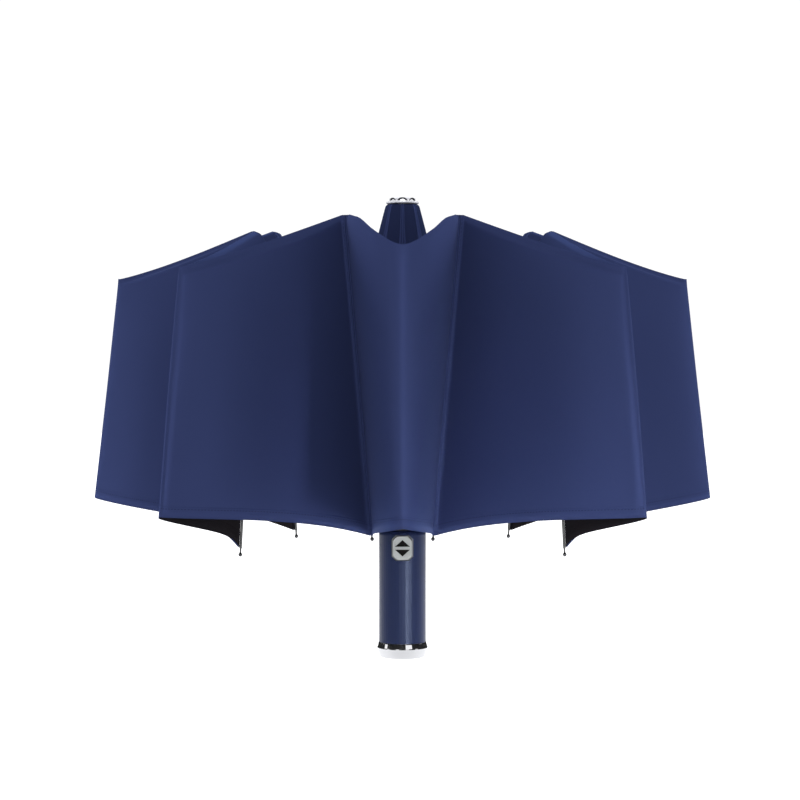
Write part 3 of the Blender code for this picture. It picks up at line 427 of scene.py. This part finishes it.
def follow_runner(cloth):
    """The cloth's own shape for each place of the runner: its slide is read from the CAD body"""
    tree = bpy.data.node_groups.new("canopy_follow", "GeometryNodeTree")
    tree.interface.new_socket("Geometry", in_out="INPUT", socket_type="NodeSocketGeometry")
    tree.interface.new_socket("Geometry", in_out="OUTPUT", socket_type="NodeSocketGeometry")
    source = tree.nodes.new("NodeGroupInput")
    result = tree.nodes.new("NodeGroupOutput")
    info = tree.nodes.new("GeometryNodeObjectInfo")
    info.transform_space = "RELATIVE"
    info.inputs["Object"].default_value = frame["bodies"]["runner"]
    place = parts(tree, info.outputs["Location"])
    total = None
    for number, (start, end) in enumerate(SPANS):
        gone = tree.nodes.new("ShaderNodeMapRange")
        gone.clamp = True
        gone.inputs["From Min"].default_value = STEPS[start]
        gone.inputs["From Max"].default_value = STEPS[end]
        link(tree, place["Z"], gone.inputs["Value"])
        named = tree.nodes.new("GeometryNodeInputNamedAttribute")
        named.data_type = "FLOAT_VECTOR"
        named.inputs["Name"].default_value = "move_" + str(number)
        scale = tree.nodes.new("ShaderNodeVectorMath")
        scale.operation = "SCALE"
        link(tree, named.outputs["Attribute"], scale.inputs[0])
        link(tree, gone.outputs["Result"], scale.inputs["Scale"])
        if total is None:
            total = scale.outputs["Vector"]
        else:
            add = tree.nodes.new("ShaderNodeVectorMath")
            add.operation = "ADD"
            link(tree, total, add.inputs[0])
            link(tree, scale.outputs["Vector"], add.inputs[1])
            total = add.outputs["Vector"]
    move = tree.nodes.new("GeometryNodeSetPosition")
    link(tree, source.outputs[0], move.inputs["Geometry"])
    link(tree, total, move.inputs["Offset"])
    link(tree, move.outputs["Geometry"], result.inputs[0])
    step = cloth.modifiers.new("Follow runner", "NODES")
    step.node_group = tree


# Materials

def shader(name):
    material = bpy.data.materials.new(name)
    material.use_nodes = True
    return material, material.node_tree, material.node_tree.nodes["Principled BSDF"]


def calc(tree, operation, *values):
    node = tree.nodes.new("ShaderNodeMath")
    node.operation = operation
    for place, value in enumerate(values):
        if isinstance(value, (int, float)):
            node.inputs[place].default_value = value
        else:
            link(tree, value, node.inputs[place])
    return node.outputs[0]


def times(tree, *values):
    return calc(tree, "MULTIPLY", *values)


def distance(tree, one, two):
    return calc(tree, "SQRT", calc(tree, "ADD", times(tree, one, one), times(tree, two, two)))


def ramp(tree, value, start, end):
    """0 before start and 1 past end, or the other way round when start is larger"""
    node = tree.nodes.new("ShaderNodeMapRange")
    node.interpolation_type = "SMOOTHSTEP"
    node.inputs["From Min"].default_value = start
    node.inputs["From Max"].default_value = end
    link(tree, value, node.inputs["Value"])
    return node.outputs["Result"]


def band(tree, value, low, high, soft):
    rise = ramp(tree, value, low - soft, low + soft)
    return times(tree, rise, ramp(tree, value, high + soft, high - soft))


def wave(tree, value, period):
    return calc(tree, "SINE", times(tree, value, 2 * math.pi / period))


def dashes(tree, value, period):
    return ramp(tree, wave(tree, value, period), -0.5, -0.1)


def parts(tree, vector):
    split = tree.nodes.new("ShaderNodeSeparateXYZ")
    link(tree, vector, split.inputs[0])
    return split.outputs


def in_object(tree):
    return tree.nodes.new("ShaderNodeTexCoord").outputs["Object"]


def in_layer(tree, name):
    layer = tree.nodes.new("ShaderNodeUVMap")
    layer.uv_map = name
    return layer.outputs["UV"]


def noise(tree, scale, detail=2):
    node = tree.nodes.new("ShaderNodeTexNoise")
    node.inputs["Scale"].default_value = scale
    node.inputs["Detail"].default_value = detail
    link(tree, in_object(tree), node.inputs["Vector"])
    return node.outputs["Fac"]


def mixed(tree, factor, low, high):
    """Colour low where factor is 0 and high where it is 1, each a colour or an output"""
    node = tree.nodes.new("ShaderNodeMix")
    node.data_type = "RGBA"
    for name, value in (("A", low), ("B", high)):
        if isinstance(value, tuple):
            node.inputs[name].default_value = (*value, 1)
        else:
            link(tree, value, node.inputs[name])
    link(tree, factor, node.inputs["Factor"])
    return node.outputs["Result"]


def bumped(tree, height, strength, reach, before=None):
    bump = tree.nodes.new("ShaderNodeBump")
    bump.inputs["Strength"].default_value = strength
    bump.inputs["Distance"].default_value = reach
    link(tree, height, bump.inputs["Height"])
    if before:
        link(tree, before, bump.inputs["Normal"])
    return bump.outputs["Normal"]


def set_inputs(node, **values):
    for key, value in values.items():
        node.inputs[key.replace("_", " ")].default_value = value


def plain(name, colour, metallic, roughness, grain=None, strength=0.05, **more):
    """One colour, with a fine grain in its surface and its gloss where a grain is given"""
    material, tree, base = shader(name)
    base.inputs["Base Color"].default_value = (*colour, 1)
    base.inputs["Metallic"].default_value = metallic
    base.inputs["Roughness"].default_value = roughness
    set_inputs(base, **more)
    if grain:
        speckle = noise(tree, grain, 4)
        link(tree, bumped(tree, speckle, strength, 0.0004), base.inputs["Normal"])
        rough = tree.nodes.new("ShaderNodeMapRange")
        rough.inputs["To Min"].default_value = max(roughness - 0.06, 0.02)
        rough.inputs["To Max"].default_value = roughness + 0.06
        link(tree, speckle, rough.inputs["Value"])
        link(tree, rough.outputs["Result"], base.inputs["Roughness"])
    return material


# The cloth's details in decimetres on the cut: ends of the seam's lap, of the hem's fold and of
# the groove along a seam, rows of stitches, length of a stitch and width of two threads
LAP_ENDS, FOLD_ENDS, GROOVE_ENDS = (0.036, 0.030), (0.096, 0.090), (0.007, 0.002)
SEAM_STITCHES, HEM_STITCHES, STITCH_SOFT = (0.019, 0.024), (0.072, 0.077), 0.001
STITCH, THREADS = 0.028, 0.0045
# Laps and stitches fade out on the gathered cone
CONE_ENDS = (0.9, 1.4)


def cloth_material(name, lit, deep, metallic, roughness, sheen):
    material, tree, base = shader(name)
    cut = parts(tree, in_layer(tree, "cut"))
    edges = parts(tree, in_layer(tree, "edges"))
    seam, hem = edges["X"], edges["Y"]
    # Seams over the ribs and the folded hem, each with its row of stitches
    lower = ramp(tree, cut["Y"], *CONE_ENDS)
    lap = calc(tree, "MAXIMUM", times(tree, ramp(tree, seam, *LAP_ENDS), lower),
               ramp(tree, hem, *FOLD_ENDS))
    # The groove along a seam: a dent in the bump and painted shade in the colour
    seam_groove_and_shade = ramp(tree, seam, *GROOVE_ENDS)
    seam_row = times(tree, band(tree, seam, *SEAM_STITCHES, STITCH_SOFT), lower)
    hem_row = band(tree, hem, *HEM_STITCHES, STITCH_SOFT)
    threads = calc(tree, "MAXIMUM", times(tree, seam_row, dashes(tree, cut["Y"], STITCH)),
                   times(tree, hem_row, dashes(tree, cut["X"], STITCH)))
    cloud = mixed(tree, noise(tree, 9, 3), deep, lit)
    # Painted shade: the groove along each seam is darkened as if shadowed; the stitches are dark
    # thread
    thread_and_groove_shade = calc(tree, "MAXIMUM", times(tree, seam_groove_and_shade, 0.7), times(tree, threads, 0.6))
    colour = mixed(tree, thread_and_groove_shade, cloud, tuple(value * 0.35 for value in deep))
    link(tree, colour, base.inputs["Base Color"])
    # Fine plain weave, then seams and stitches, then soft creases left from folding
    weave = times(tree, wave(tree, cut["X"], THREADS), wave(tree, cut["Y"], THREADS))
    normal = bumped(tree, weave, 0.12, 0.00006)
    raised = calc(tree, "ADD", lap, times(tree, threads, 0.8))
    normal = bumped(tree, calc(tree, "SUBTRACT", raised, seam_groove_and_shade), 0.7, 0.0003, normal)
    normal = bumped(tree, noise(tree, 16), 0.20, 0.0016, normal)
    link(tree, normal, base.inputs["Normal"])
    base.inputs["Roughness"].default_value = roughness
    base.inputs["Metallic"].default_value = metallic
    base.inputs["Specular IOR Level"].default_value = 0.0
    base.inputs["Specular Tint"].default_value = (0.55, 0.66, 1.0, 1)
    base.inputs["Sheen Weight"].default_value = sheen
    base.inputs["Sheen Roughness"].default_value = 0.35
    base.inputs["Sheen Tint"].default_value = (0.35, 0.42, 0.75, 1)
    return material


CLOTH = cloth_material("cloth_outside", (0.034, 0.046, 0.125), (0.030, 0.041, 0.112),
                       0.2, 0.40, 0.03)
LINING = cloth_material("cloth_inside", (0.014, 0.012, 0.014), (0.010, 0.009, 0.010),
                        0.0, 0.60, 0.05)
SHELL = plain("handle_paint", (0.0082, 0.0125, 0.041), 0.0, 0.34, 900, 0.10,
              Specular_IOR_Level=0.20, Specular_Tint=(0.6, 0.72, 1.0, 1))
CHROME = plain("chrome", (0.64, 0.64, 0.655), 1.0, 0.08, 800, 0.02)
BUTTON = plain("button_silver", (0.21, 0.22, 0.22), 0.25, 0.45, 900, 0.10)
SILVER = plain("satin_silver", (0.66, 0.66, 0.65), 1.0, 0.30, 700, 0.05)
STEEL = plain("plated_steel", (0.50, 0.51, 0.53), 1.0, 0.24, 300, 0.05)
DARK = plain("black_steel", (0.05, 0.05, 0.055), 0.9, 0.35, 300, 0.06)
BLACK = plain("black_plastic", (0.012, 0.012, 0.013), 0.0, 0.45, 500, 0.08)
PAINT = plain("black_mark", (0.003, 0.003, 0.003), 0.0, 0.70, 600, 0.05, Specular_IOR_Level=0.05)
RUBBER = plain("black_rubber", (0.014, 0.014, 0.015), 0.0, 0.65, 900, 0.10)
BOARD = plain("board", (0.70, 0.71, 0.69), 0.0, 0.50, 400, 0.05)
LENS = plain("lens", (0.95, 0.97, 0.98), 0.0, 0.08, 500, 0.01, Transmission_Weight=1.0)

BALL_HEIGHT = 0.0030


def tip_material(name, height):
    """A black fibre rod with a steel ball below the given height"""
    material, tree, base = shader(name)
    ball = calc(tree, "LESS_THAN", parts(tree, in_object(tree))["Z"], height)
    colour = mixed(tree, ball, (0.012, 0.012, 0.014), (0.07, 0.07, 0.075))
    link(tree, colour, base.inputs["Base Color"])
    link(tree, ball, base.inputs["Metallic"])
    link(tree, bumped(tree, noise(tree, 600), 0.06, 0.0003), base.inputs["Normal"])
    base.inputs["Roughness"].default_value = 0.28
    return material


def cap_material():
    """Bright cap with painted shade: a dark line along each round arch's rim, standing in for the
    shadow in its recess
    """
    top = max(vertex.co.z for vertex in NODES["top_cap"].data.vertices)
    middle = top - CAP_DRUM_HEIGHT - ARCH_SINK
    material, tree, base = shader("cap_bright")
    place = parts(tree, in_object(tree))
    turn = calc(tree, "ARCTAN2", place["X"], times(tree, place["Y"], -1))
    count = calc(tree, "MULTIPLY_ADD", turn, ARCHES / (2 * math.pi), 0.5)
    beside = calc(tree, "SUBTRACT", calc(tree, "FRACT", count), 0.5)
    beside = times(tree, beside, 2 * math.pi / ARCHES * CAP_DRUM / ARCH_WIDEN)
    rise = calc(tree, "SUBTRACT", place["Z"], middle)
    away = distance(tree, beside, rise)
    # Painted shade: a dark line along each arch's rim, for the shadow in the arch's recess
    rim = band(tree, away, ARCH_RADIUS - 0.0007, ARCH_RADIUS + 0.0004, 0.00015)
    rim = times(tree, rim, ramp(tree, rise, ARCH_SINK - 0.0001, ARCH_SINK + 0.0002))
    # The painted shade's near-black colour over the bright cap
    colour = mixed(tree, rim, (0.88, 0.88, 0.92), (0.015, 0.015, 0.02))
    link(tree, colour, base.inputs["Base Color"])
    link(tree, bumped(tree, noise(tree, 700), 0.04, 0.0003), base.inputs["Normal"])
    base.inputs["Metallic"].default_value = 0.35
    base.inputs["Roughness"].default_value = 0.35
    base.inputs["Specular IOR Level"].default_value = 0.2
    return material


def paint_all():
    looks = {
        "handle_shell": SHELL, "tube_socket": BLACK, "outer_tube": STEEL, "middle_tube": STEEL,
        "top_tube": STEEL, "torch_ring": CHROME, "torch_lens": LENS, "torch_reflector": CHROME,
        "led_board": BOARD, "battery_carrier": BLACK, "contact_spring": STEEL,
        "button_spring": STEEL, "open_close_button": BUTTON, "button_up_mark": PAINT,
        "button_down_mark": PAINT, "torch_switch": RUBBER, "crown": BLACK, "runner": BLACK,
        "top_cap": cap_material(),
    }
    cells = ["battery_cell_" + str(number) for number in range(1, 5)]
    looks.update((cell, SILVER) for cell in cells)
    tips = {}
    for index in range(RIBS):
        name = str(index + 1)
        looks["inner_rib_" + name] = STEEL
        looks["middle_rib_" + name] = STEEL
        looks["stretcher_" + name] = DARK
        pair = min(index, RIBS - 1 - index)
        if pair not in tips:
            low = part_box("outer_rib_" + name)[0].z
            tips[pair] = tip_material("rib_tip_" + str(pair), low + BALL_HEIGHT)
        looks["outer_rib_" + name] = tips[pair]
    for node, material in looks.items():
        mesh = NODES[node].data
        mesh.materials.clear()
        mesh.materials.append(material)
    smooth = ["handle_shell", "torch_ring", "top_cap", "outer_tube", "middle_tube", "top_tube",
              "torch_reflector", "torch_lens", "torch_switch", "runner", "crown", "button_spring",
              "contact_spring", "battery_carrier", "tube_socket", *cells]
    smooth += ["outer_rib_" + str(index + 1) for index in range(RIBS)]
    for node in smooth:
        mesh = NODES[node].data
        for polygon in mesh.polygons:
            polygon.use_smooth = True
        mesh.set_sharp_from_angle(angle=rad(32))


def dress_canopy():
    cloth = make_canopy()
    cloth.data.materials.append(CLOTH)
    cloth.data.materials.append(LINING)
    follow_runner(cloth)
    skin = cloth.modifiers.new("Cloth", "SOLIDIFY")
    skin.thickness = 0.00028
    skin.offset = -1
    skin.material_offset = 1
    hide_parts("canopy")
    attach(cloth, "top_shaft")


# Studio

# Light of the set on the object, and the white that the camera and mirrors see behind it
SOFT_LIGHT, WHITE_BEHIND = 0.50, 1.05
# How far the floor lies below the object, and its glow: a level near the object, more further out
FLOOR_DROP, FLOOR_LEVEL, FLOOR_MORE, FLOOR_ENDS = 0.16, 0.28, 0.75, (0.6, 2.0)
# The photograph's viewpoint
EYE, EYE_DOWN, FOCAL_MM, SENSOR_MM = (-0.0018, -1.472, 0.1602), 0.917, 90, 36


def seen(tree):
    """1 for rays that show the background: straight, mirrored or passed through glass"""
    path = tree.nodes.new("ShaderNodeLightPath").outputs
    either = calc(tree, "MAXIMUM", path["Is Glossy Ray"], path["Is Transmission Ray"])
    return calc(tree, "MAXIMUM", path["Is Camera Ray"], either)


def studio():
    world = bpy.data.worlds.new("studio")
    bpy.context.scene.world = world
    world.use_nodes = True
    tree = world.node_tree
    nodes = tree.nodes
    for node in list(nodes):
        nodes.remove(node)
    result = nodes.new("ShaderNodeOutputWorld")
    mix = nodes.new("ShaderNodeMixShader")
    link(tree, seen(tree), mix.inputs["Fac"])
    looks = ((0.92, 0.95, 1.0, 1), SOFT_LIGHT), ((1, 1, 1, 1), WHITE_BEHIND)
    for place, (colour, strength) in enumerate(looks, 1):
        background = nodes.new("ShaderNodeBackground")
        background.inputs["Color"].default_value = colour
        background.inputs["Strength"].default_value = strength
        link(tree, background.outputs[0], mix.inputs[place])
    link(tree, mix.outputs[0], result.inputs["Surface"])


def floor():
    bpy.ops.mesh.primitive_plane_add(size=14, location=(0, 3, -GRIP - FLOOR_DROP))
    plane = bpy.context.active_object
    plane.name = "floor"
    material, tree, base = shader("floor_white")
    nodes = tree.nodes
    base.inputs["Base Color"].default_value = (0.88, 0.88, 0.88, 1)
    base.inputs["Roughness"].default_value = 0.9
    base.inputs["Specular IOR Level"].default_value = 0.0
    glow = nodes.new("ShaderNodeEmission")
    glow.inputs["Color"].default_value = (1, 1, 1, 1)
    place = parts(tree, nodes.new("ShaderNodeNewGeometry").outputs["Position"])
    further = ramp(tree, distance(tree, place["X"], place["Y"]), *FLOOR_ENDS)
    level = calc(tree, "MULTIPLY_ADD", further, FLOOR_MORE, FLOOR_LEVEL)
    link(tree, times(tree, seen(tree), level), glow.inputs["Strength"])
    add = nodes.new("ShaderNodeAddShader")
    link(tree, base.outputs[0], add.inputs[0])
    link(tree, glow.outputs[0], add.inputs[1])
    link(tree, add.outputs[0], nodes["Material Output"].inputs["Surface"])
    plane.data.materials.append(material)


def lamp(name, place, aim, size, power, mirrored=True):
    """A soft panel that the camera doesn't see, in metres and watts"""
    data = bpy.data.lights.new(name, "AREA")
    data.shape = "RECTANGLE"
    data.size, data.size_y = size
    data.energy = power
    panel = bpy.data.objects.new(name, data)
    panel.location = place
    panel.rotation_mode = "QUATERNION"
    panel.rotation_quaternion = (Vector(aim) - Vector(place)).to_track_quat("-Z", "Y")
    panel.visible_camera = False
    panel.visible_glossy = mirrored
    bpy.context.scene.collection.objects.link(panel)
    return data


def card(name, radius, low, high, start, end):
    """A dark card round the set, between two azimuths from the front, that only mirrors show"""
    steps = 48
    points = []
    for step in range(steps + 1):
        side = outward_at(start + (end - start) * step / steps) * radius
        points += [(side[0], side[1], low), (side[0], side[1], high)]
    faces = [(2 * step, 2 * step + 2, 2 * step + 3, 2 * step + 1) for step in range(steps)]
    mesh = bpy.data.meshes.new(name)
    mesh.from_pydata(points, [], faces)
    mesh.materials.append(plain(name + "_black", (0.01, 0.01, 0.01), 0.0, 0.9))
    flag = bpy.data.objects.new(name, mesh)
    bpy.context.scene.collection.objects.link(flag)
    flag.visible_camera = False
    flag.visible_diffuse = False
    flag.visible_transmission = False
    flag.visible_shadow = False


def lights():
    lamp("front_strip", (0.02, -2.4, 0.15), (0, 0, 0.15), (0.12, 0.6), 12.5)
    lamp("fill_left", (-2.17, -1.25, 0.5), (0, 0, 0.12), (0.8, 1.4), 7.5, mirrored=False)
    lamp("fill_right", (2.17, -1.25, 0.5), (0, 0, 0.12), (0.8, 1.4), 7.5, mirrored=False)
    lamp("side_left", (-2.35, 0.85, 0.5), (0, 0, 0.12), (0.8, 1.4), 60, mirrored=False)
    lamp("side_right", (2.35, 0.85, 0.5), (0, 0, 0.12), (0.8, 1.4), 60, mirrored=False)
    lamp("rim", (0.0, 1.2, 2.1), (0, 0, 0.25), (1.6, 0.8), 16)
    # The light streak on the handle and the two glints on the ring's dark band
    strip = lamp("handle_strip", (0.34, -0.66, -0.10), (0.0, 0.0, -0.01), (0.07, 0.30), 0.17)
    strip.spread = rad(30)
    lamp("glint_right", (0.253, -0.405, 0.102), (0, 0, -0.045), (0.23, 0.08), 0.08)
    lamp("glint_left", (-0.482, -0.080, 0.060), (0, 0, -0.045), (0.17, 0.08), 0.06)


def camera():
    data = bpy.data.cameras.new("camera")
    data.lens = FOCAL_MM
    data.sensor_width = SENSOR_MM
    eye = bpy.data.objects.new("camera", data)
    eye.location = EYE
    eye.rotation_mode = "XYZ"
    eye.rotation_euler = (rad(90 - EYE_DOWN), 0, 0)
    bpy.context.scene.collection.objects.link(eye)
    bpy.context.scene.camera = eye


paint_all()
dress_canopy()
studio()
floor()
# The ring's dark band, and the dark behind the set that keeps the cloth's edges from glowing
card("low_band", 0.6, 0.007, 0.235, 0, 360)
card("back_flag", 3.0, -0.2, 1.8, 55, 305)
lights()
camera()
bpy.context.scene.view_settings.view_transform = "Standard"
